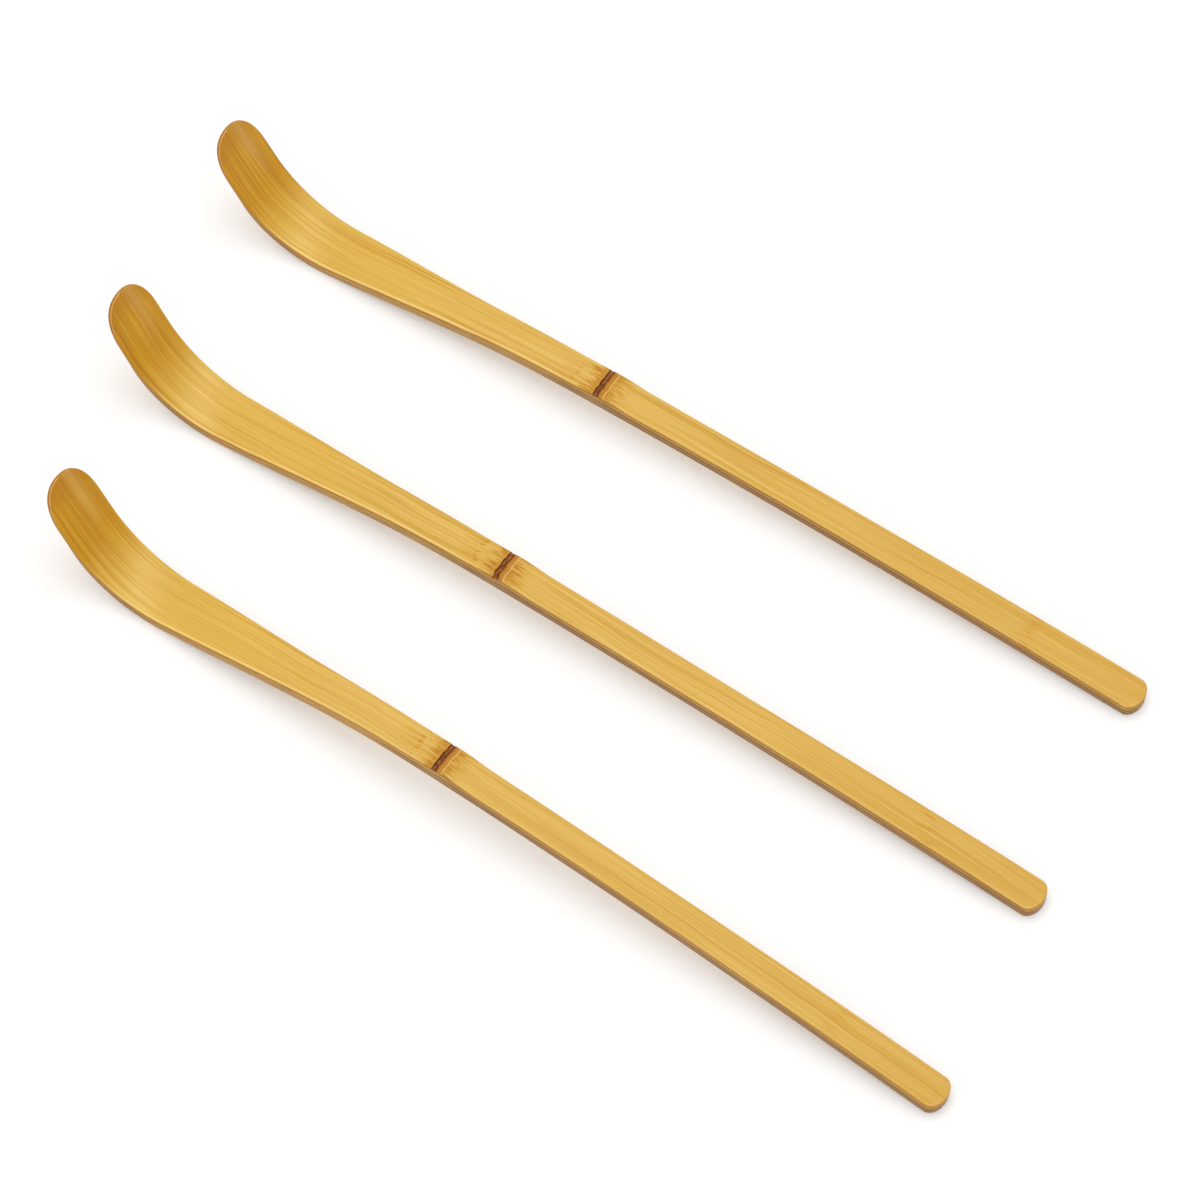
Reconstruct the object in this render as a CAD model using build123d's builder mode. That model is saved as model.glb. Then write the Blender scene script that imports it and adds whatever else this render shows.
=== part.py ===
from build123d import *
import os
from math import asin, atan2, cos, hypot, radians, sin
from typing import NamedTuple

# A set of three bamboo tea scoops lying in a row. Each scoop is one strip of bamboo: a handle,
# a node with its ridge and groove, a shaft that widens, and a bowl bent up from the heel.
# Sizes are in millimetres and degrees. In a scoop's own frame X runs from its handle end to its
# tip, Y is across the strip, and Z is up, square to the top face at the handle end.

# Widths across the strip, from the handle end to the bowl; the waist's share is its place along the
# handle, and the heel's share is how much of the widening to the bowl is done where the heel starts
end_width = 6.1
waist_width = 5.6
waist_share = 0.68
node_width = 5.8
shaft_width = 6.5
bowl_width = 10.4
heel_share = 0.72

# Thicknesses of the strip, from the handle end to the tip
end_thickness = 2.75
node_thickness = 2.85
heel_thickness = 2.1
bowl_thickness = 0.95
tip_thickness = 0.85

# Lengths and bends that all three scoops share, measured on the top face
crest_length = 23.0
heel_radius = 17.4
lip_length = 11.9
lip_run = 4.6

# Node: a low ridge that swells out of the top face, and a groove across its tip side
ridge_height = 0.45
ridge_back = 1.8
ridge_run = 8.0
shoulder_height = 0.3
shoulder_run = 7.0
groove_radius = 0.4

# Ends and edges; the tip's outline leans in by its taper on each side before it rounds off
end_round = 2.1
tip_round = 3.3
tip_taper = 2.3
edge_round = 0.3

# How far a cut passes the face that it cuts
overcut = 2.0


class Strip(NamedTuple):
    """What differs from scoop to scoop: its place in the row, its lengths and its bends."""

    name: str
    along: float
    across: float
    swing: float
    handle_length: float
    shaft_length: float
    handle_turn: float
    crest_turn: float
    heel_turn: float


class Profile(NamedTuple):
    """A strip in side view without its ridge: its top face from the handle end to the tip, then
    the flat underside of the shaft and the round underside of the heel."""

    handle: Edge
    crest: Edge
    shaft: Edge
    heel: Edge
    lip: Edge
    flat: Edge
    sole: Edge


rear = Strip(
    name="rear_scoop",
    along=-6.65,
    across=40.3,
    swing=1.2,
    handle_length=105.9,
    shaft_length=29.2,
    handle_turn=3.6,
    crest_turn=6.2,
    heel_turn=64.2,
)
middle = Strip(
    name="middle_scoop",
    along=0.0,
    across=0.0,
    swing=0.0,
    handle_length=106.35,
    shaft_length=31.2,
    handle_turn=3.0,
    crest_turn=6.7,
    heel_turn=66.7,
)
front = Strip(
    name="front_scoop",
    along=6.4,
    across=-38.5,
    swing=-1.6,
    handle_length=100.2,
    shaft_length=31.65,
    handle_turn=5.2,
    crest_turn=9.1,
    heel_turn=65.9,
)


def above(curve, at, height):
    """The point a given height over a curve of the top face, square to it; minus is inside."""
    return curve @ at + (curve % at).rotate(Axis.Z, 90) * height


def bend(strip):
    """The side view's arcs and straights: each of the top face leaves the last along its direction."""
    crest_share = crest_length / (crest_length + strip.shaft_length)
    crest_thickness = node_thickness + (heel_thickness - node_thickness) * crest_share
    with BuildLine():
        handle_radius = strip.handle_length / radians(strip.handle_turn)
        handle = JernArc((0, end_thickness), (1, 0), handle_radius, -strip.handle_turn)
        crest_radius = crest_length / radians(strip.crest_turn)
        crest = JernArc(handle @ 1, handle % 1, crest_radius, -strip.crest_turn)
        shaft = Line(crest @ 1, crest @ 1 + (crest % 1) * strip.shaft_length)
        heel = JernArc(shaft @ 1, shaft % 1, heel_radius, strip.heel_turn)
        lip = Line(heel @ 1, heel @ 1 + (heel % 1) * lip_length)
        flat = Line(above(shaft, 0, -crest_thickness), above(shaft, 1, -heel_thickness))
        sole = TangentArc(flat @ 1, above(heel, 1, -bowl_thickness), tangent=flat % 1)
    return Profile(handle, crest, shaft, heel, lip, flat, sole)


def side_view(profile):
    """The strip from the side, with its ridge, run on past both of its ends."""
    handle, crest, shaft, heel, lip, flat, sole = profile
    before_ridge = 1 - ridge_run / handle.length
    after_ridge = shoulder_run / crest_length
    grip_thickness = (end_thickness + node_thickness) / 2
    run_on = (lip % 1) * overcut
    with BuildSketch(Plane.XZ.offset(-bowl_width)) as view:
        with BuildLine():
            butt = Line((-overcut, end_thickness), handle @ 0)
            add(handle.trim(0, before_ridge))
            Spline(
                handle @ before_ridge,
                above(handle, 1 - ridge_back / handle.length, ridge_height),
                above(crest, 0, shoulder_height),
                crest @ after_ridge,
                tangents=(handle % before_ridge, crest % after_ridge),
            )
            add([crest.trim(after_ridge, 1), shaft, heel, lip])
            tip = Line(lip @ 1, lip @ 1 + run_on)
            under_butt = Line((-overcut, 0), (0, 0))
            Spline(
                under_butt @ 1,
                above(handle, 0.5, -grip_thickness),
                above(handle, 1, -node_thickness),
                flat @ 0,
                tangents=(handle % 0, flat % 0),
            )
            add([flat, sole])
            under_lip = Spline(
                sole @ 1,
                above(lip, 1, -tip_thickness),
                tangents=(sole % 1, lip % 1),
            )
            under_tip = Line(under_lip @ 1, under_lip @ 1 + run_on)
            Line(butt @ 0, under_butt @ 0)
            Line(tip @ 1, under_tip @ 1)
        make_face()
    return view.sketch


def plan_view(profile, reach):
    """The strip from above: round handle end, waisted handle and flared shaft, run on at the tip."""
    heel_width = shaft_width + (bowl_width - shaft_width) * heel_share
    node_x = (profile.handle @ 1).X
    with BuildSketch(Plane.XY.offset(-reach)) as view:
        with BuildLine():
            EllipticalCenterArc((end_round, 0), end_round, end_width / 2, start_angle=90, arc_size=90)
            side = Spline(
                (end_round, end_width / 2),
                (waist_share * node_x, waist_width / 2),
                (node_x, node_width / 2),
                ((profile.crest @ 1).X, shaft_width / 2),
                ((profile.heel @ 0).X, heel_width / 2),
                ((profile.heel @ 1).X, bowl_width / 2),
                tangents=((1, 0), (1, 0)),
            )
            Polyline(side @ 1, (2 * reach, bowl_width / 2), (2 * reach, 0))
            mirror(about=Plane.XZ)
        make_face()
    return view.sketch


def tip_view(lip_plane, reach):
    """The sides of the bowl and the rounded tip, seen square to the lip, run on behind it."""
    with BuildSketch(lip_plane.offset(-reach)) as view:
        with BuildLine():
            side = Line((-reach, bowl_width / 2), (lip_run, bowl_width / 2))
            Bezier(
                side @ 1,
                (lip_length - tip_round, bowl_width / 2),
                (lip_length, bowl_width / 2 - tip_taper),
                (lip_length, 0),
            )
            Line(side @ 0, (-reach, 0))
            mirror(about=Plane.XZ)
        make_face()
    return view.sketch


def carve(profile):
    """One scoop in its own frame, with the lower edge of its handle end at the origin."""
    lip = profile.lip
    reach = (lip @ 1).X + overcut
    lip_plane = Plane(
        origin=Plane.XZ.from_local_coords(lip @ 0),
        x_dir=Plane.XZ.from_local_coords(lip % 0),
        z_dir=Plane.XZ.from_local_coords((lip % 0).rotate(Axis.Z, 90)),
    )
    with BuildPart() as scoop:
        extrude(side_view(profile), amount=2 * bowl_width)
        extrude(plan_view(profile, reach), amount=2 * reach, mode=Mode.INTERSECT)
        extrude(tip_view(lip_plane, reach), amount=2 * reach, mode=Mode.INTERSECT)
        # The rims of the top face and the underside are softened, and no edge across or through
        crosswise = scoop.edges().filter_by(Axis.Y)
        through = scoop.edges().filter_by(Axis.Z)
        through_lip = scoop.edges().filter_by(Axis(lip_plane.origin, lip_plane.z_dir))
        fillet(scoop.edges() - crosswise - through - through_lip, radius=edge_round)
        with BuildSketch(Plane.XZ.offset(-bowl_width)):
            with Locations(above(profile.crest, 0, shoulder_height)):
                Circle(groove_radius)
        extrude(amount=2 * bowl_width, mode=Mode.SUBTRACT)
    return scoop.part


def resting_plane(strip, sole):
    """The frame of a scoop on the table, standing on its heel and its handle end, tip towards -X."""
    heel_centre = sole.arc_center
    to_heel = hypot(heel_centre.X, heel_centre.Y)
    lift = asin(sole.radius / to_heel) - atan2(heel_centre.Y, heel_centre.X)
    swing = radians(strip.swing)
    return Plane(
        origin=(strip.along, strip.across, 0),
        x_dir=(-cos(swing) * cos(lift), -sin(swing) * cos(lift), sin(lift)),
        z_dir=(cos(swing) * sin(lift), sin(swing) * sin(lift), cos(lift)),
    )


def lay_down(strip):
    """One scoop in its place in the row."""
    profile = bend(strip)
    return carve(profile).moved(resting_plane(strip, profile.sole).location)


os.makedirs("parts", exist_ok=True)
row = {strip.name: lay_down(strip) for strip in (rear, middle, front)}
row_centre = Compound(list(row.values())).bounding_box().center()
for name, scoop in row.items():
    scoop = scoop.moved(Location((-row_centre.X, -row_centre.Y, 0)))
    scoop.label = name
    export_step(scoop, f"parts/{name}.step")
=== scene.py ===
from math import cos, pi, radians, sin
from typing import NamedTuple

import bmesh
import bpy
import numpy as np
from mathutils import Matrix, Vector


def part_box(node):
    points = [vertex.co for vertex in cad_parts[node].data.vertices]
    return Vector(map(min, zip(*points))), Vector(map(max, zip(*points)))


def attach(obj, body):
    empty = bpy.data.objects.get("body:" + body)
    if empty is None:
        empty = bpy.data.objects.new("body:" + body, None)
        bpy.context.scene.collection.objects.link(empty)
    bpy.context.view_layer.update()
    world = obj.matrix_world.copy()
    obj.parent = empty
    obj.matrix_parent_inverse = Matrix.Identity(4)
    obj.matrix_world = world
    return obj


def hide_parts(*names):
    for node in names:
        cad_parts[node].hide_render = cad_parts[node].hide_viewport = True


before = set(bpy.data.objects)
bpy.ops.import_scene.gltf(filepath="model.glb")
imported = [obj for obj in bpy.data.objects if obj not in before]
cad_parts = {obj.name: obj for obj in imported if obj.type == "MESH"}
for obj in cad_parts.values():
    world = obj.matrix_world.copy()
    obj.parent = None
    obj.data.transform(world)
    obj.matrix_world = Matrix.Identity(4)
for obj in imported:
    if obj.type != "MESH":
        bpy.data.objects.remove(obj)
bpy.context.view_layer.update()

# A row of three bamboo tea scoops. Each is one strip with a handle, a node, a shaft that widens, and
# a bowl bent up from the heel. Its sizes are in millimetres and degrees, as in the solids, apart
# from the tip, which is a little fuller (LIP_RUN, TIP_ROUND and TIP_TAPER).
MM = 0.001
END_WIDTH = 6.1
WAIST_WIDTH = 5.6
WAIST_SHARE = 0.68
NODE_WIDTH = 5.8
SHAFT_WIDTH = 6.5
BOWL_WIDTH = 10.4
HEEL_SHARE = 0.72
END_THICKNESS = 2.75
NODE_THICKNESS = 2.85
HEEL_THICKNESS = 2.1
BOWL_THICKNESS = 0.95
TIP_THICKNESS = 0.85
CREST_LENGTH = 23.0
HEEL_RADIUS = 17.4
LIP_LENGTH = 11.9
LIP_RUN = 4.2
RIDGE_HEIGHT = 0.45
RIDGE_BACK = 1.8
RIDGE_RUN = 8.0
SHOULDER_HEIGHT = 0.3
SHOULDER_RUN = 7.0
GROOVE_RADIUS = 0.4
END_ROUND = 2.1
TIP_ROUND = 2.7
TIP_TAPER = 1.8
EDGE_ROUND = 0.3

# The node's line lies a little towards the handle and bows towards the tip in the middle, its groove
# is shallower at the sides, and its fibres stand up a little
NODE_BACK = 0.27
GROOVE_FADE = 0.6
FIBRE_HEIGHT = 0.03
FIBRE_REACH = 1.4
FIBRE_COUNT = 60

# How closely the strips are meshed, and how near together two points of a mesh are one
LINE_STEPS = 4000
BODY_STEPS = 230
NODE_SPAN = 9.0
NODE_STEPS = 91
GROOVE_SPAN = 2.2
GROOVE_STEPS = 75
END_STEPS = 20
TIP_STEPS = 34
ACROSS_STEPS = 26
RIM_STEPS = 5
WALL_STEPS = 7
MERGE_DISTANCE = MM / 1e4

# The camera, fitted to the photograph: degrees round the row and above the table, metres from its
# target, and a long lens in millimetres
CAMERA_AZIMUTH = 34.34
CAMERA_ELEVATION = 61.0
CAMERA_DISTANCE = 1.4851
CAMERA_TARGET = Vector((-0.0007, 0.0058, 0.0))
CAMERA_SENSOR = 36.0
CAMERA_LENS = 270.0

# The studio, in metres and watts: an even white world, one soft lamp overhead, and a white floor, a
# share of whose white is plain where it is seen
WORLD_STRENGTH = 0.95
KEY_PLACE = Vector((-0.15, 0.35, 1.55))
KEY_SIZE = 1.2
KEY_POWER = 6.2
FLOOR_SIZE = 6.0
FLOOR_WHITE = 0.98
FLOOR_PLAIN = 0.2

# The bamboo's gloss, its fine relief in metres, and how far apart the noise of two strips lies
GLOSS = 0.25
RELIEF_STRENGTH = 0.25
RELIEF_DISTANCE = 0.00006
SEED_STEP = 17.3

# Where the bamboo's colours lie: in millimetres along the strip, past the node's line, across the
# strip or down from the top, and as shares of the way from the heel's start to the tip
HANDLE_FADE = 110.0
SHAFT_FADE = (18.0, 45.0)
RIPPLE_REACH = 14.0
DASHES_AT = 21.5
DASHES_STAGGER = 6.0
TICKS_AT = 4.7
TRAIL_START = 5.2
TRAIL_END = 10.0
# Where the painted highlight along the near rim grows along the strip, where it fades in the bowl, and how
# far in from the outline it lies
NEAR_HIGHLIGHT_START = (95.0, 125.0)
NEAR_HIGHLIGHT_END = (0.1, 0.55)
NEAR_HIGHLIGHT_AT = 0.34
# How far down the rounded far rim the thin line of painted shade lies
FAR_SHADE_DEPTH = 0.13
# How far down the tip's rounded rim its painted highlight lies
TIP_HIGHLIGHT_DEPTH = 0.12
# Where the painted highlight on the bend lies, and how it slants across the strip
BEND_HIGHLIGHT_AT = 0.24
BEND_HIGHLIGHT_SLANT = 0.016
AMBER_START = (0.22, 0.61)
PALE_AT = -1.8
PALE_START = (0.55, 0.85)
# Where the painted shade on the heel's sides lies, near where the heel touches the table
HEEL_SHADE_AT = 0.36
SKIN_END = (0.18, 0.34)


class Strip(NamedTuple):
    """What differs from scoop to scoop: its swing on the table, its lengths, its bends, the bow of
    its node's line, and the seed of its grain."""

    name: str
    swing: float
    handle: float
    shaft: float
    handle_turn: float
    crest_turn: float
    heel_turn: float
    node_bow: float
    seed: int


REAR = Strip(
    name="rear_scoop",
    swing=1.2,
    handle=105.9,
    shaft=29.2,
    handle_turn=3.6,
    crest_turn=6.2,
    heel_turn=64.2,
    node_bow=0.06,
    seed=3,
)
MIDDLE = Strip(
    name="middle_scoop",
    swing=0.0,
    handle=106.35,
    shaft=31.2,
    handle_turn=3.0,
    crest_turn=6.7,
    heel_turn=66.7,
    node_bow=0.25,
    seed=11,
)
FRONT = Strip(
    name="front_scoop",
    swing=-1.6,
    handle=100.2,
    shaft=31.65,
    handle_turn=5.2,
    crest_turn=9.1,
    heel_turn=65.9,
    node_bow=0.15,
    seed=23,
)


class Line(NamedTuple):
    """The middle of a strip's top face in side view: where its stretches meet, and its distance from
    the handle end, place and heading at many points."""

    knots: np.ndarray
    along: np.ndarray
    x: np.ndarray
    z: np.ndarray
    heading: np.ndarray


def summed(values, along):
    """The running integral of values over a distance, by the trapezium rule."""
    return np.concatenate([[0], np.cumsum((values[1:] + values[:-1]) / 2 * np.diff(along))])


def top_line(strip):
    """The line of the top face: handle, crest, shaft, heel and lip, each tangent to the last."""
    heel = HEEL_RADIUS * radians(strip.heel_turn)
    lengths = [strip.handle, CREST_LENGTH, strip.shaft, heel, LIP_LENGTH]
    turns = [-strip.handle_turn, -strip.crest_turn, 0, strip.heel_turn, 0]
    knots = np.concatenate([[0], np.cumsum(lengths)])
    along = np.linspace(0, knots[-1], LINE_STEPS)
    heading = np.interp(along, knots, np.radians(np.concatenate([[0], np.cumsum(turns)])))
    x = summed(np.cos(heading), along)
    z = END_THICKNESS + summed(np.sin(heading), along)
    return Line(knots, along, x, z, heading)


def smooth(at, places, heights):
    """A smooth curve through points, level at its first and its last."""
    places, heights = np.array(places, float), np.array(heights, float)
    slopes = np.gradient(heights, places)
    slopes[0] = slopes[-1] = 0
    i = np.clip(np.searchsorted(places, at) - 1, 0, len(places) - 2)
    gap = places[i + 1] - places[i]
    t = np.clip((at - places[i]) / gap, 0, 1)
    rise = (1 + 2 * t) * (1 - t) ** 2 * heights[i] + t * t * (3 - 2 * t) * heights[i + 1]
    return rise + t * (1 - t) * gap * ((1 - t) * slopes[i] - t * slopes[i + 1])


def bezier(t, start, leave, arrive, end):
    """A cubic curve from start to end, with its two handles."""
    return (1 - t) ** 3 * start + 3 * t * (1 - t) ** 2 * leave + 3 * t**2 * (1 - t) * arrive + t**3 * end


def half_width(along, knots):
    """Half the strip's width: a waisted handle, then a flare to the bowl."""
    heel_width = SHAFT_WIDTH + (BOWL_WIDTH - SHAFT_WIDTH) * HEEL_SHARE
    widths = np.array([END_WIDTH, WAIST_WIDTH, NODE_WIDTH, SHAFT_WIDTH, heel_width, BOWL_WIDTH])
    return smooth(along, [END_ROUND, WAIST_SHARE * knots[1], *knots[1:5]], widths / 2)


def thickness(along, knots):
    """The strip's thickness without its ridge; the heel thins faster towards the bowl."""
    crest_share = CREST_LENGTH / (knots[3] - knots[1])
    crest = NODE_THICKNESS + (HEEL_THICKNESS - NODE_THICKNESS) * crest_share
    sizes = [END_THICKNESS, NODE_THICKNESS, crest, HEEL_THICKNESS, BOWL_THICKNESS, TIP_THICKNESS]
    round_heel = np.clip((along - knots[3]) / (knots[4] - knots[3]), 0, 1)
    swell = (HEEL_THICKNESS - BOWL_THICKNESS) * round_heel * (1 - round_heel)
    return np.interp(along, knots, sizes) + swell


def outline(knots):
    """Distances along the strip and half widths there, from the middle of one end to the other."""
    node, lip = knots[1], knots[4]
    coarse = np.linspace(END_ROUND, lip + LIP_RUN, BODY_STEPS)[1:]
    fine = node + np.linspace(-NODE_SPAN, NODE_SPAN, NODE_STEPS)
    finest = node + np.linspace(-GROOVE_SPAN, GROOVE_SPAN, GROOVE_STEPS)
    coarse = coarse[abs(coarse - node) > NODE_SPAN]
    fine = fine[abs(fine - node) > GROOVE_SPAN]
    body = np.sort(np.concatenate([coarse, fine, finest]))
    end = np.linspace(0, pi / 2, END_STEPS)
    t = np.linspace(0, 1, TIP_STEPS)[1:]
    bowl = BOWL_WIDTH / 2
    tip_along = lip + bezier(t, LIP_RUN, LIP_LENGTH - TIP_ROUND, LIP_LENGTH, LIP_LENGTH)
    tip_half = bezier(t, bowl, bowl, bowl - TIP_TAPER, 0)
    along = np.concatenate([END_ROUND * (1 - np.cos(end)), body, tip_along])
    half = np.concatenate([END_WIDTH / 2 * np.sin(end), half_width(body, knots), tip_half])
    return along, half


def section_ring():
    """The points round a section: inset from the outline, depth as a length and as a share of the
    thickness, and place across from -1 to 1."""
    rim = np.linspace(0, pi / 2, RIM_STEPS)
    inset, drop = EDGE_ROUND * (1 - np.sin(rim)), EDGE_ROUND * (1 - np.cos(rim))
    wall = np.linspace(0, 1, WALL_STEPS)[1:-1]
    side = [(back, down, 0.0) for back, down in zip(inset, drop)]
    side += [(0.0, EDGE_ROUND * (1 - 2 * share), share) for share in wall]
    side += [(back, -down, 1.0) for back, down in zip(inset[::-1], drop[::-1])]
    across = np.linspace(-1, 1, ACROSS_STEPS)[1:-1]
    ring = [(*point, 1.0) for point in side]
    ring += [(EDGE_ROUND, 0.0, 1.0, place) for place in across[::-1]]
    ring += [(*point, -1.0) for point in side[::-1]]
    ring += [(EDGE_ROUND, 0.0, 0.0, place) for place in across]
    return np.array(ring).T


def node_relief(along, across, strip):
    """How far past the node's line a point is, and how high the top stands there."""
    inner = np.clip(1 - (2 * across / NODE_WIDTH) ** 2, 0, 1)
    past = along - strip.handle - strip.node_bow * inner + NODE_BACK
    ridge = smooth(
        past,
        [-RIDGE_RUN, -RIDGE_BACK, 0, SHOULDER_RUN],
        [0, RIDGE_HEIGHT, SHOULDER_HEIGHT, 0],
    )
    groove = np.sqrt(np.clip(GROOVE_RADIUS**2 - past**2, 0, None)) * (1 - GROOVE_FADE * (1 - inner))
    random = np.random.default_rng(strip.seed)
    places = np.linspace(-NODE_WIDTH, NODE_WIDTH, FIBRE_COUNT)
    fibres = np.interp(across, places, random.uniform(-1, 1, FIBRE_COUNT))
    rough = FIBRE_HEIGHT * fibres * np.exp(-((past / FIBRE_REACH) ** 2))
    return past, ridge - groove + rough


def lay_down(points, line, strip):
    """Turns points from the strip's own frame onto the table, and sets them in the solid's box."""
    deep = thickness(line.along, line.knots)
    under_x = line.x + np.sin(line.heading) * deep
    under_z = line.z - np.cos(line.heading) * deep
    far = line.along > strip.handle
    lift = -np.arctan2(under_z[far], under_x[far]).min()
    swing = radians(strip.swing)
    x_dir = Vector((-cos(swing) * cos(lift), -sin(swing) * cos(lift), sin(lift)))
    z_dir = Vector((cos(swing) * sin(lift), sin(swing) * sin(lift), cos(lift)))
    turn = np.array([x_dir, z_dir.cross(x_dir), z_dir])
    laid = points @ turn * MM
    low, high = (np.array(corner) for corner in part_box(strip.name))
    shift = (low + high) / 2 - (laid.min(0) + laid.max(0)) / 2
    shift[2] = low[2] - laid[:, 2].min()
    return np.clip(laid + shift, low, high)


def ring_mesh(name, points, grid):
    """A mesh of so many rings of so many points, each joined to the next by a band of quads."""
    index = np.arange(len(points)).reshape(grid)
    after = np.roll(index, -1, 1)
    quads = np.stack([index[:-1], after[:-1], after[1:], index[1:]], -1).reshape(-1, 4)
    mesh = bpy.data.meshes.new(name)
    mesh.from_pydata(points.tolist(), [], quads.tolist())
    return mesh


def keep(mesh, name, *values):
    """Keeps three numbers with each point of a mesh, for its material."""
    attribute = mesh.attributes.new(name, "FLOAT_VECTOR", "POINT")
    attribute.data.foreach_set("vector", np.stack(np.broadcast_arrays(*values), -1).ravel())


def close_ends(mesh):
    """Closes the rings that shrink to a line at both ends, turns all faces outwards and smooths them."""
    shape = bmesh.new()
    shape.from_mesh(mesh)
    bmesh.ops.remove_doubles(shape, verts=shape.verts, dist=MERGE_DISTANCE)
    bmesh.ops.dissolve_degenerate(shape, edges=shape.edges, dist=MERGE_DISTANCE)
    bmesh.ops.recalc_face_normals(shape, faces=shape.faces)
    for face in shape.faces:
        face.smooth = True
    shape.to_mesh(mesh)
    shape.free()


def carve(strip):
    """One scoop as a mesh: rings round the strip, close together at the node and at both ends. Each
    point keeps its distance along the strip, across it and down from the top; how far it is past
    the node's line, in the bowl and from the tip; and how far it is on the underside, on the near
    side and in from the outline."""
    line = top_line(strip)
    along, half = outline(line.knots)
    run = np.hypot(np.gradient(along), np.gradient(half))
    inward_along, inward_across = np.gradient(half) / run, -np.gradient(along) / run
    inset, length, share, side = section_ring()
    at = along[:, None] + inset * inward_along[:, None]
    across = side * np.clip(half[:, None] + inset * inward_across[:, None], 0, None)
    across[[0, -1]] = 0
    at[0], at[-1] = along[0] + inset, along[-1] - inset
    past_node, height = node_relief(at, across, strip)
    depth = length + share * thickness(at, line.knots)
    out = (1 - share) * height - depth
    heading = np.interp(at, line.along, line.heading)
    x = np.interp(at, line.along, line.x) - np.sin(heading) * out
    z = np.interp(at, line.along, line.z) + np.cos(heading) * out
    points = lay_down(np.stack([x, across, z], -1).reshape(-1, 3), line, strip)
    mesh = ring_mesh(strip.name + "_bamboo", points, at.shape)
    heel, tip = line.knots[3], line.knots[5]
    keep(mesh, "place", at, across, depth)
    keep(mesh, "marks", past_node, (at - heel) / (tip - heel), tip - at)
    keep(mesh, "faces", share * inset / EDGE_ROUND, (side + 1) / 2, half[:, None] - abs(across))
    close_ends(mesh)
    scoop = bpy.data.objects.new(strip.name + "_bamboo", mesh)
    bpy.context.collection.objects.link(scoop)
    return scoop


def colour(red, green, blue, share=1.0):
    """A colour given as it shows on a screen, 0 to 255, as linear light, and how much it covers."""
    part = np.array([red, green, blue]) / 255
    linear = np.where(part <= 0.04045, part / 12.92, ((part + 0.055) / 1.055) ** 2.4)
    return (*linear.tolist(), share)


class Value:
    """A number or colour that changes over a surface. The sum, difference or product of two numbers
    is a node of its own."""

    def __init__(self, shader, socket):
        self.shader = shader
        self.socket = socket

    def __add__(self, other):
        return self.shader.math("ADD", self, other)

    def __sub__(self, other):
        return self.shader.math("SUBTRACT", self, other)

    def __mul__(self, other):
        return self.shader.math("MULTIPLY", self, other)

    def __abs__(self):
        return self.shader.math("ABSOLUTE", self)


class Shader:
    """A material's node tree, with short calls for the nodes that it uses."""

    def __init__(self, name):
        self.material = bpy.data.materials.new(name)
        self.material.use_nodes = True
        self.tree = self.material.node_tree
        self.surface = self.tree.nodes["Principled BSDF"]

    def feed(self, node, inputs):
        """Links inputs of a node to values, or sets them to plain numbers and colours."""
        for name, value in inputs.items():
            if isinstance(value, Value):
                self.tree.links.new(value.socket, node.inputs[name])
            else:
                node.inputs[name].default_value = value

    def node(self, kind, inputs, **settings):
        """A new node with its settings and inputs."""
        node = self.tree.nodes.new(kind)
        for name, setting in settings.items():
            setattr(node, name, setting)
        self.feed(node, inputs)
        return node

    def add(self, kind, inputs, output=0, **settings):
        """One output of a new node."""
        return Value(self, self.node(kind, inputs, **settings).outputs[output])

    def math(self, operation, first, second=0.0):
        """The result of a math node."""
        return self.add("ShaderNodeMath", {0: first, 1: second}, operation=operation)

    def highest(self, first, second):
        """The higher of two values."""
        return self.math("MAXIMUM", first, second)

    def attribute(self, name):
        """The three numbers of a point attribute."""
        vector = self.add("ShaderNodeAttribute", {}, "Vector", attribute_name=name)
        parts = self.node("ShaderNodeSeparateXYZ", {0: vector})
        return [Value(self, output) for output in parts.outputs]

    def noise(self, along, across, down, detail=2.0, roughness=0.5):
        """Noise over three coordinates, around 0.5."""
        place = self.add("ShaderNodeCombineXYZ", {0: along, 1: across, 2: down})
        inputs = {"Vector": place, "Scale": 1.0, "Detail": detail, "Roughness": roughness}
        return self.add("ShaderNodeTexNoise", inputs, "Fac")

    def between(self, value, low, high, to_low=0.0, to_high=1.0):
        """A value taken smoothly from one range to another."""
        inputs = {0: value, 1: low, 2: high, 3: to_low, 4: to_high}
        return self.add("ShaderNodeMapRange", inputs, interpolation_type="SMOOTHSTEP")

    def hump(self, value, middle, reach):
        """1 at the middle of a range, falling smoothly to 0 a reach away on both sides."""
        return self.between(abs(value - middle), 0.0, reach, 1.0, 0.0)

    def mix(self, share, first, second):
        """The first colour with a share of the second over it; a Mix node's sockets for colours are
        its inputs 6 and 7 and its output 2."""
        return self.add("ShaderNodeMix", {0: share, 6: first, 7: second}, 2, data_type="RGBA")

    def ramp(self, value, tones):
        """Colours along a value, from (value, colour) pairs: the colour and how much it covers."""
        low, high = tones[0][0], tones[-1][0]
        scaled = self.add("ShaderNodeMapRange", {0: value, 1: low, 2: high})
        node = self.node("ShaderNodeValToRGB", {0: scaled})
        elements = node.color_ramp.elements
        for i, (at, tone) in enumerate(tones):
            element = elements[i] if i < 2 else elements.new(1.0)
            element.position = (at - low) / (high - low)
            element.color = tone
        return [Value(self, output) for output in node.outputs]


# Tones of the top face over its grain, of what lies on it, and of the painted highlights and painted shade
# on its rims
SKIN_TONES = [(0.34, colour(202, 158, 60)), (0.5, colour(214, 172, 79)), (0.66, colour(223, 185, 100))]
HANDLE_TONE = colour(196, 148, 52)
SHAFT_TONE = colour(218, 175, 56)
LINE_TONE = colour(188, 136, 24)
MARK_TONE = colour(194, 134, 6)
NEAR_RIM_HIGHLIGHT_TONE = colour(248, 214, 140)
FAR_RIM_SHADE_TONE = colour(186, 122, 22)
TIP_RIM_HIGHLIGHT_TONE = colour(222, 176, 110)

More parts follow.
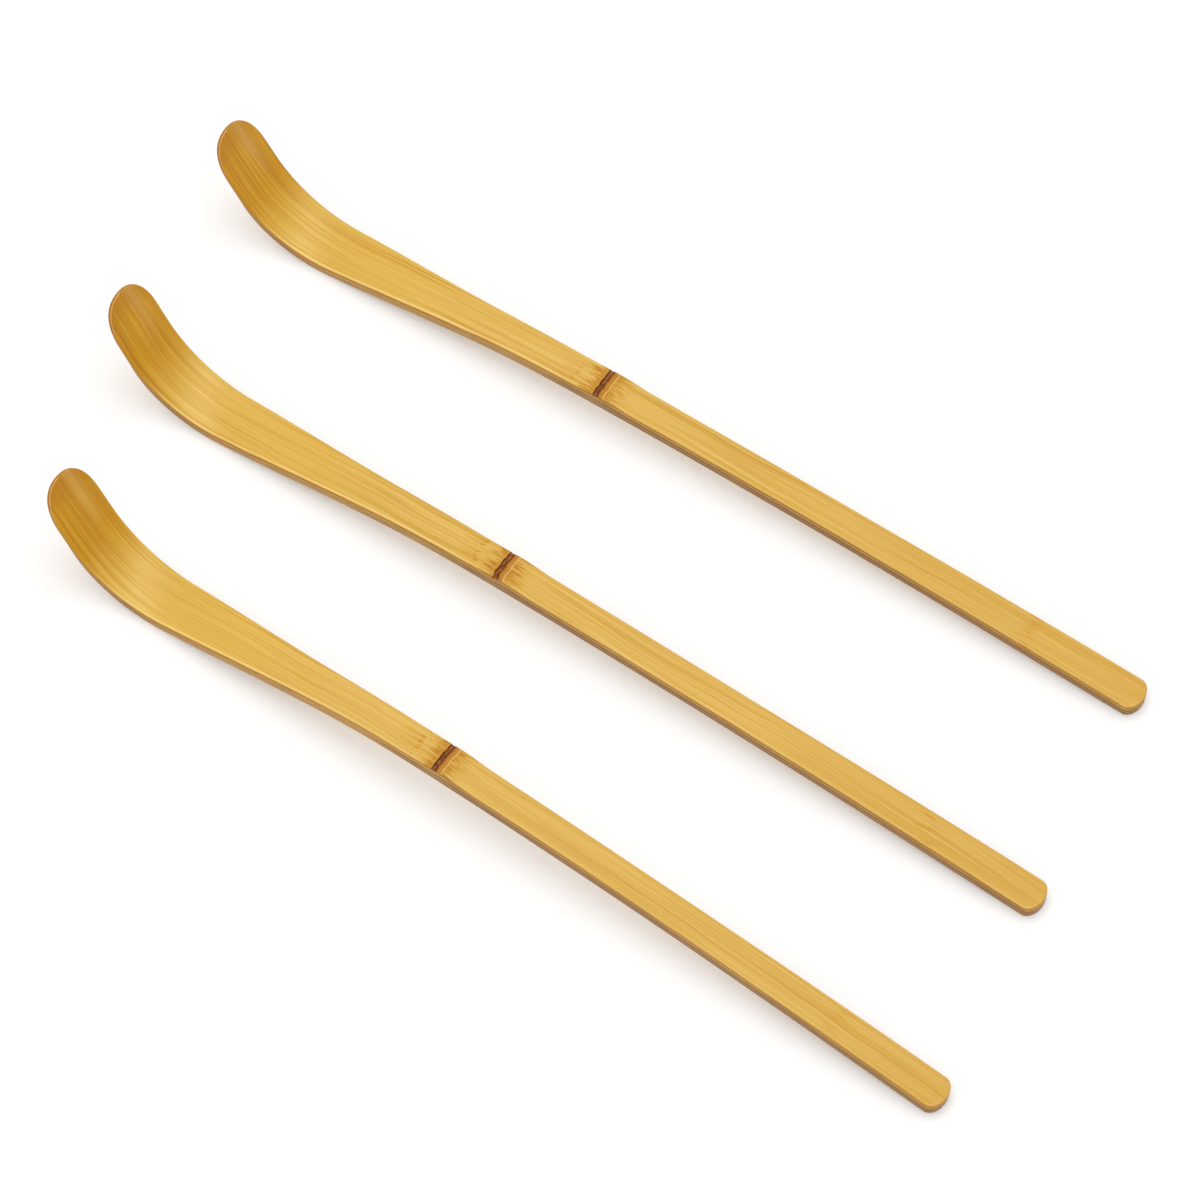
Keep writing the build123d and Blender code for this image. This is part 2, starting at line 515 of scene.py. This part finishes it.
# Tones of the bend's painted highlight and of the bowl
BEND_HIGHLIGHT_TONE = colour(228, 192, 110)
AMBER_TONES = [(0.34, colour(176, 117, 0)), (0.5, colour(194, 141, 8)), (0.66, colour(205, 158, 42))]
AMBER_LINE_TONE = colour(168, 106, 0)
AMBER_TIP_TONE = colour(172, 112, 0)
AMBER_PALE_TONE = colour(204, 162, 86)

# Tones over the distance past the node's line, in millimetres: the frayed fibres, then the bands
FEATHER_TONES = [
    (-4.2, colour(204, 154, 48, 0.0)),
    (-3.0, colour(194, 140, 14, 0.55)),
    (-1.8, colour(180, 120, 4, 0.9)),
    (0.4, colour(176, 115, 2, 0.95)),
    (1.6, colour(186, 127, 4, 0.85)),
    (3.2, colour(204, 154, 48, 0.0)),
]
BAND_TONES = [
    (-1.75, colour(214, 170, 82, 0.0)),
    (-1.56, colour(224, 182, 102, 0.9)),
    (-1.38, colour(172, 108, 6, 0.95)),
    (-1.1, colour(188, 130, 26, 0.95)),
    (-0.9, colour(164, 104, 6, 0.95)),
    (-0.72, colour(178, 110, 10, 1.0)),
    (-0.56, colour(84, 34, 0, 1.0)),
    (-0.3, colour(116, 56, 4, 1.0)),
    (-0.05, colour(142, 80, 12, 1.0)),
    (0.2, colour(116, 56, 2, 1.0)),
    (0.37, colour(92, 38, 0, 1.0)),
    (0.5, colour(198, 138, 40, 0.9)),
    (0.8, colour(204, 154, 56, 0.0)),
]
MOTTLE_PALE_TONE = colour(182, 116, 52)
MOTTLE_DARK_TONE = colour(72, 28, 0)

# Tones of the sides over the depth from the top, in millimetres, and of their fibres and stretches; the
# darkest tone at the bottom edge is painted shade where the sides meet the table
LAYER_TONES = [
    (0.1, colour(182, 126, 30)),
    (0.22, colour(152, 102, 24)),
    (0.34, colour(164, 113, 34)),
    (0.48, colour(164, 115, 40)),
    (0.6, colour(218, 172, 96)),
    (0.74, colour(208, 162, 86)),
    (0.88, colour(164, 116, 46)),
    (1.2, colour(134, 88, 24)),
    (1.5, colour(158, 111, 45)),
    (1.8, colour(170, 124, 60)),
    (2.1, colour(140, 98, 46)),
    (2.4, colour(156, 114, 62)),
    # Painted shade along the bottom edge
    (2.75, colour(84, 56, 26)),
]
PLY_TONE = colour(118, 74, 24)
NODE_SIDE_TONE = colour(172, 138, 78)
SHAFT_SIDE_TONE = colour(196, 152, 84)
SHAFT_PLY_TONE = colour(150, 106, 50)
# Painted shade for the heel's sides, deepening towards the table
HEEL_SHADE_TONE = colour(134, 88, 34)
TIP_SIDE_TONE = colour(178, 114, 42)
TIP_PLY_TONE = colour(150, 90, 30)

# Tones of the underside over its grain
SOLE_TONES = [(0.3, colour(176, 130, 58)), (0.5, colour(202, 160, 84)), (0.7, colour(216, 178, 106))]


class Bamboo(Shader):
    """Bare bamboo on one strip, from the numbers that its points keep. Lengths are in millimetres."""

    def __init__(self, strip):
        super().__init__(strip.name + "_bamboo")
        self.along, self.across, self.depth = self.attribute("place")
        self.past_node, self.in_bowl, self.to_tip = self.attribute("marks")
        self.under, self.near, self.inside = self.attribute("faces")
        self.seed = strip.seed * SEED_STEP
        self.wandering = self.wander()
        self.hair = self.fibres(0.02, 3.2, 3.0, 0.65)
        self.streak = self.fibres(0.01, 0.7)
        self.grain = self.hair * 0.85 + self.streak * 0.15
        self.drawn = self.highest(self.lines(0.005, 1.1, 0.036), self.lines(0.012, 2.2, 0.09) * 0.55)

    def wander(self):
        """The place across the strip, counted over fibres that wander a little as they run along it,
        and more so at the node."""
        drift = self.noise(self.along * 0.045, self.across * 0.15, self.seed)
        ripple = self.noise(self.along * 0.2, self.across * 0.4, self.seed + 5.0)
        at_node = self.hump(self.past_node, 0.0, RIPPLE_REACH) * 0.5 + 0.1
        return self.across + self.seed + ripple * at_node + drift * 1.8

    def fibres(self, along, fine, detail=2.0, roughness=0.5):
        """Noise drawn out along the strip: so many changes per millimetre along it and across it."""
        return self.noise(self.along * along, self.wandering * fine, self.depth * fine, detail, roughness)

    def lines(self, along, fine, width):
        """Thin lines along the strip that fade in and out."""
        apart = abs(self.fibres(along, fine, 1.0) - 0.5)
        fading = self.between(self.fibres(along * 4, fine / 2), 0.38, 0.62)
        return self.between(apart, width / 5, width, 1.0, 0.0) * fading

    def skin(self):
        """The top face: golden fibres and thin lines, browner at the handle end, yellower on the shaft."""
        skin, _ = self.ramp(self.grain, SKIN_TONES)
        skin = self.mix(self.between(self.along, 0.0, HANDLE_FADE, 0.3, 0.0), skin, HANDLE_TONE)
        skin = self.mix(self.between(self.past_node, *SHAFT_FADE, 0.0, 0.3), skin, SHAFT_TONE)
        return self.mix(self.drawn * 0.7, skin, LINE_TONE)

    def amber(self):
        """The heated bowl: amber streaks, browner at the tip, and a paler stretch."""
        streaks = self.hair * 0.7 + self.fibres(0.04, 1.3) * 0.3
        amber, _ = self.ramp(streaks, AMBER_TONES)
        amber = self.mix(self.drawn * 0.8, amber, AMBER_LINE_TONE)
        amber = self.mix(self.between(self.to_tip, 1.0, 6.5, 0.6, 0.0), amber, AMBER_TIP_TONE)
        pale = self.hump(self.across, PALE_AT, 2.2) * self.between(self.in_bowl, *PALE_START, 0.0, 0.5)
        return self.mix(pale * self.between(self.hair, 0.35, 0.65, 0.5, 1.0), amber, AMBER_PALE_TONE)

    def with_bowl(self, skin):
        """A painted highlight on the bend, and the bowl past it is amber."""
        slanted = self.in_bowl + self.across * BEND_HIGHLIGHT_SLANT
        # Painted highlight: a paler patch on the bend
        bend_highlight = self.hump(slanted, BEND_HIGHLIGHT_AT, 0.2) * self.between(self.hair, 0.35, 0.65, 0.05, 0.7)
        skin = self.mix(bend_highlight, skin, BEND_HIGHLIGHT_TONE)
        return self.mix(self.between(self.in_bowl, *AMBER_START), skin, self.amber())

    def with_marks(self, skin):
        """Short marks along the grain, spread on the handle and in a row between node and shaft."""
        stagger = self.noise(self.seed, self.across * 0.9, 0.0, 1.0) * 2.0 - 1.0
        spots = self.noise(self.along * 0.05, self.wandering * 3.0, 4.0, 1.0)
        dashes = self.hump(self.along + stagger * DASHES_STAGGER, DASHES_AT, 1.8) * 0.75
        ticks = self.hump(self.past_node + stagger, TICKS_AT, 0.8)
        trail = self.between(self.past_node, TRAIL_START, TRAIL_END, 0.45, 0.0)
        trail = trail * self.between(self.past_node, TRAIL_START - 0.8, TRAIL_START)
        marks = self.between(spots, 0.48, 0.6) * self.highest(self.highest(ticks, trail), dashes)
        return self.mix(marks, skin, MARK_TONE)

    def with_rim_light_and_shade(self, skin):
        """A painted highlight just inside the near rim, a thin line of painted shade on the far rim, and a
        thin painted highlight on the tip's rim.
        """
        near_highlight_reach = self.between(self.along, *NEAR_HIGHLIGHT_START, 0.2, 0.65)
        near_highlight_reach = near_highlight_reach * self.between(self.in_bowl, *NEAR_HIGHLIGHT_END, 1.0, 0.0)
        # Painted highlight: a bright line just inside the near rim, strongest along the shaft
        near_highlight = self.hump(self.inside, NEAR_HIGHLIGHT_AT, 0.26) * near_highlight_reach * self.between(self.near, 0.3, 0.7)
        skin = self.mix(near_highlight, skin, NEAR_RIM_HIGHLIGHT_TONE)
        # Painted shade: a thin darker orange line on the far rim only
        far_shade = self.hump(self.depth, FAR_SHADE_DEPTH, 0.13) * self.between(self.near, 0.3, 0.7, 0.6, 0.0)
        skin = self.mix(far_shade, skin, FAR_RIM_SHADE_TONE)
        # Painted highlight: a pale line on the near side of the tip's rim
        tip_highlight = self.hump(self.depth, TIP_HIGHLIGHT_DEPTH, 0.11) * self.between(self.to_tip, 2.0, 8.0, 0.7, 0.0)
        return self.mix(tip_highlight * self.between(self.near, 0.2, 0.6), skin, TIP_RIM_HIGHLIGHT_TONE)

    def with_node(self, skin):
        """A mottled dark band in the groove, a tan band behind it, and fibres that darken to both."""
        frayed = self.noise(self.along * 0.3, self.wandering * 4.0, self.seed, 2.0, 0.6)
        frayed = self.between(frayed, 0.22, 0.78)
        waved = self.noise(self.seed, self.across * 0.9, 2.0)
        feather, share = self.ramp(self.past_node - 2.4 + frayed * 4.8, FEATHER_TONES)
        skin = self.mix(share, skin, feather)
        tight = self.past_node - 0.31 + waved * 0.5 + frayed * 0.12
        band, share = self.ramp(tight, BAND_TONES)
        skin = self.mix(share, skin, band)
        mottle = self.noise(self.along * 2.4, self.across * 1.5, self.seed, 3.0)
        in_band = self.hump(tight, -0.08, 0.56)
        skin = self.mix(self.between(mottle, 0.47, 0.62, 0.0, 0.75) * in_band, skin, MOTTLE_PALE_TONE)
        return self.mix(self.between(mottle, 0.45, 0.34, 0.0, 0.5) * in_band, skin, MOTTLE_DARK_TONE)

    def sides(self):
        """Layers down the sides: greyer at the node, paler below along the shaft, darkening to painted
        shade at the bottom edge, with painted shade deepening down them at the heel, and redder at the tip."""
        layers, _ = self.ramp(self.depth, LAYER_TONES)
        ply = self.between(self.fibres(0.012, 4.0, 2.0, 0.6), 0.38, 0.6, 0.45, 0.0)
        layers = self.mix(ply, layers, PLY_TONE)
        layers = self.mix(self.hump(self.past_node, 0.5, 5.0) * 0.35, layers, NODE_SIDE_TONE)
        lower = self.between(self.past_node, 2.0, 16.0, 0.0, 0.7) * self.between(self.depth, 0.7, 1.2)
        layers = self.mix(lower, layers, self.mix(ply, SHAFT_SIDE_TONE, SHAFT_PLY_TONE))
        # Painted shade: the heel's sides darken towards the bottom, where the heel meets the table
        heel_shade = self.hump(self.in_bowl, HEEL_SHADE_AT, 0.4)
        heel_shade = heel_shade * self.between(self.depth, 0.2, 1.2, 0.1, 0.75)
        layers = self.mix(heel_shade, layers, HEEL_SHADE_TONE)
        at_tip = self.between(self.to_tip, 1.0, 9.0, 0.8, 0.0)
        return self.mix(at_tip, layers, self.mix(ply, TIP_SIDE_TONE, TIP_PLY_TONE))

    def sole(self):
        """A plain fibrous underside."""
        sole, _ = self.ramp(self.grain - self.drawn * 0.12, SOLE_TONES)
        return sole


def bamboo(strip):
    """A strip's material: its top face meets its sides at the rim, and fine relief and sheen follow
    its fibres."""
    wood = Bamboo(strip)
    top = wood.skin()
    for added in (wood.with_bowl, wood.with_marks, wood.with_rim_light_and_shade, wood.with_node):
        top = added(top)
    rim = wood.depth + wood.near * wood.between(wood.in_bowl, 0.3, 0.65, 0.12, 0.03)
    below = wood.mix(wood.under, wood.sides(), wood.sole())
    relief = {"Height": wood.hair, "Strength": RELIEF_STRENGTH, "Distance": RELIEF_DISTANCE}
    finish = {
        "Base Color": wood.mix(wood.between(rim, *SKIN_END), top, below),
        "Roughness": wood.between(wood.streak, 0.2, 0.8, 0.36, 0.5),
        "Specular IOR Level": GLOSS,
        "Normal": wood.add("ShaderNodeBump", relief),
    }
    wood.feed(wood.surface, finish)
    return wood.material


def add_floor():
    """A plain white table top. Where it is seen, some of its white is plain, so its shadows are light."""
    bpy.ops.mesh.primitive_plane_add(size=FLOOR_SIZE)
    floor = bpy.context.object
    floor.name = "floor"
    shader = Shader("floor")
    matt_white = {
        "Base Color": (FLOOR_WHITE, FLOOR_WHITE, FLOOR_WHITE, 1),
        "Roughness": 1.0,
        "Specular IOR Level": 0.0,
    }
    shader.feed(shader.surface, matt_white)
    rays = shader.node("ShaderNodeLightPath", {}).outputs
    direct, glossy, passing = (
        Value(shader, rays[name]) for name in ("Is Camera Ray", "Is Glossy Ray", "Is Transmission Ray")
    )
    seen = shader.highest(direct, shader.highest(glossy, passing))
    matt = Value(shader, shader.surface.outputs[0])
    plain = shader.add("ShaderNodeEmission", {"Strength": 1.0})
    top = shader.add("ShaderNodeMixShader", {0: seen * FLOOR_PLAIN, 1: matt, 2: plain})
    shader.feed(shader.tree.nodes["Material Output"], {"Surface": top})
    floor.data.materials.append(shader.material)


def aim(thing, target):
    """Turns a camera or lamp to look at a point."""
    thing.rotation_euler = (target - thing.location).to_track_quat("-Z", "Y").to_euler()


def add_camera():
    """The photograph's camera."""
    azimuth, elevation = radians(CAMERA_AZIMUTH), radians(CAMERA_ELEVATION)
    back = Vector((sin(azimuth) * cos(elevation), -cos(azimuth) * cos(elevation), sin(elevation)))
    data = bpy.data.cameras.new("camera")
    data.sensor_width = CAMERA_SENSOR
    data.lens = CAMERA_LENS
    camera = bpy.data.objects.new("camera", data)
    camera.location = CAMERA_TARGET + back * CAMERA_DISTANCE
    aim(camera, CAMERA_TARGET)
    bpy.context.collection.objects.link(camera)
    bpy.context.scene.camera = camera


def add_light():
    """An even white world, and one square soft lamp that looks at the middle of the row."""
    world = bpy.data.worlds.new("studio")
    world.use_nodes = True
    background = world.node_tree.nodes["Background"]
    background.inputs["Color"].default_value = (1, 1, 1, 1)
    background.inputs["Strength"].default_value = WORLD_STRENGTH
    bpy.context.scene.world = world
    data = bpy.data.lights.new("key", "AREA")
    data.size = KEY_SIZE
    data.energy = KEY_POWER
    lamp = bpy.data.objects.new("key", data)
    lamp.location = KEY_PLACE
    aim(lamp, Vector((0, 0, 0)))
    bpy.context.collection.objects.link(lamp)


for strip in (REAR, MIDDLE, FRONT):
    scoop = carve(strip)
    scoop.data.materials.append(bamboo(strip))
    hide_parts(strip.name)
    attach(scoop, strip.name)

add_floor()
add_camera()
add_light()
bpy.context.scene.view_settings.view_transform = "Standard"
